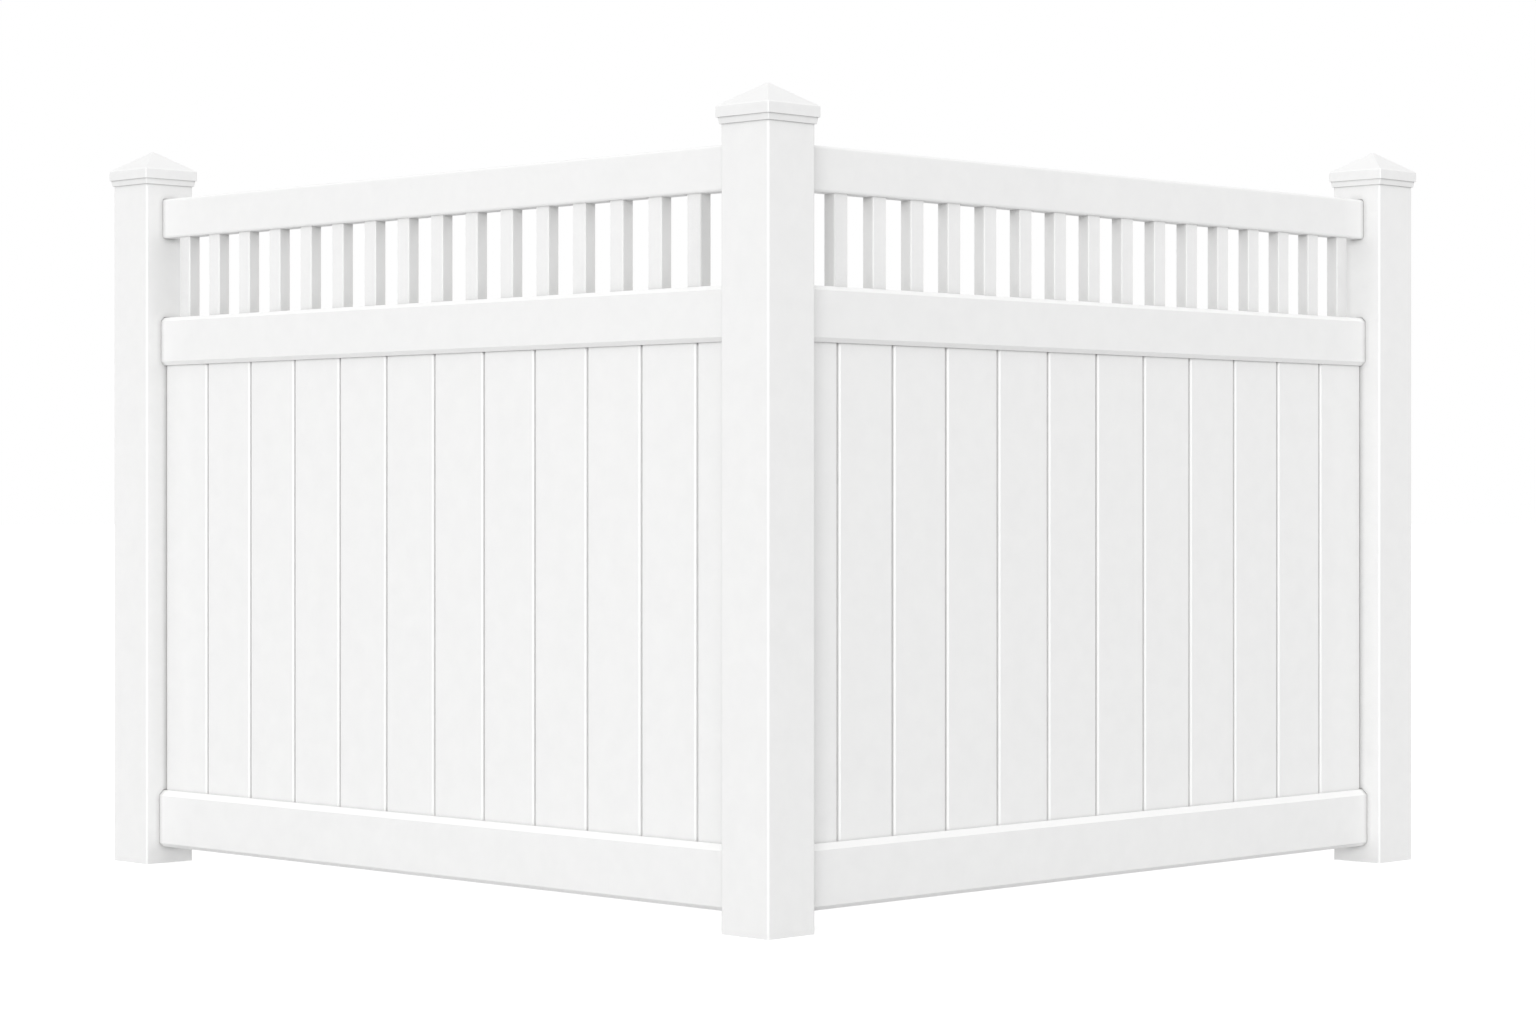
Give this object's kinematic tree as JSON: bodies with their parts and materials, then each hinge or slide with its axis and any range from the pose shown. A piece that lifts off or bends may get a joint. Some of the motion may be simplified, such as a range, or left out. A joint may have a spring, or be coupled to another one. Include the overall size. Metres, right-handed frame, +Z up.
{
  "type": "vinyl fence panel",
  "caption": "White vinyl privacy fence corner with tongue-and-groove boards under an open picket top, held between routed rails and capped square posts.",
  "frame": {"origin": "centre of the corner post's foot, at ground level", "axes": "+Z up; +X along the right bay from the corner post to the right end post; +Y along the left bay from the corner post to the left end post; the outer sides face -Y and -X"},
  "size_m": [2.1105, 2.1105, 1.6144],
  "materials": {
    "post_vinyl": "satin extruded white vinyl",
    "cap_vinyl": "satin moulded white vinyl",
    "rail_vinyl": "satin extruded white vinyl",
    "board_vinyl": "satin extruded white vinyl",
    "picket_vinyl": "satin extruded white vinyl"
  },
  "bodies": {
    "root": {"corner_post": "post_vinyl", "corner_post_cap": "cap_vinyl", "left_board_01": "board_vinyl", "left_board_02": "board_vinyl", "left_board_03": "board_vinyl", "left_board_04": "board_vinyl", "left_board_05": "board_vinyl", "left_board_06": "board_vinyl", "left_board_07": "board_vinyl", "left_board_08": "board_vinyl", "left_board_09": "board_vinyl", "left_board_10": "board_vinyl", "left_board_11": "board_vinyl", "left_board_12": "board_vinyl", "left_bottom_rail": "rail_vinyl", "left_end_post": "post_vinyl", "left_middle_rail": "rail_vinyl", "left_picket_row": "picket_vinyl", "left_post_cap": "cap_vinyl", "left_top_rail": "rail_vinyl", "right_board_01": "board_vinyl", "right_board_02": "board_vinyl", "right_board_03": "board_vinyl", "right_board_04": "board_vinyl", "right_board_05": "board_vinyl", "right_board_06": "board_vinyl", "right_board_07": "board_vinyl", "right_board_08": "board_vinyl", "right_board_09": "board_vinyl", "right_board_10": "board_vinyl", "right_board_11": "board_vinyl", "right_board_12": "board_vinyl", "right_bottom_rail": "rail_vinyl", "right_end_post": "post_vinyl", "right_middle_rail": "rail_vinyl", "right_picket_row": "picket_vinyl", "right_post_cap": "cap_vinyl", "right_top_rail": "rail_vinyl"}
  },
  "joints": []
}
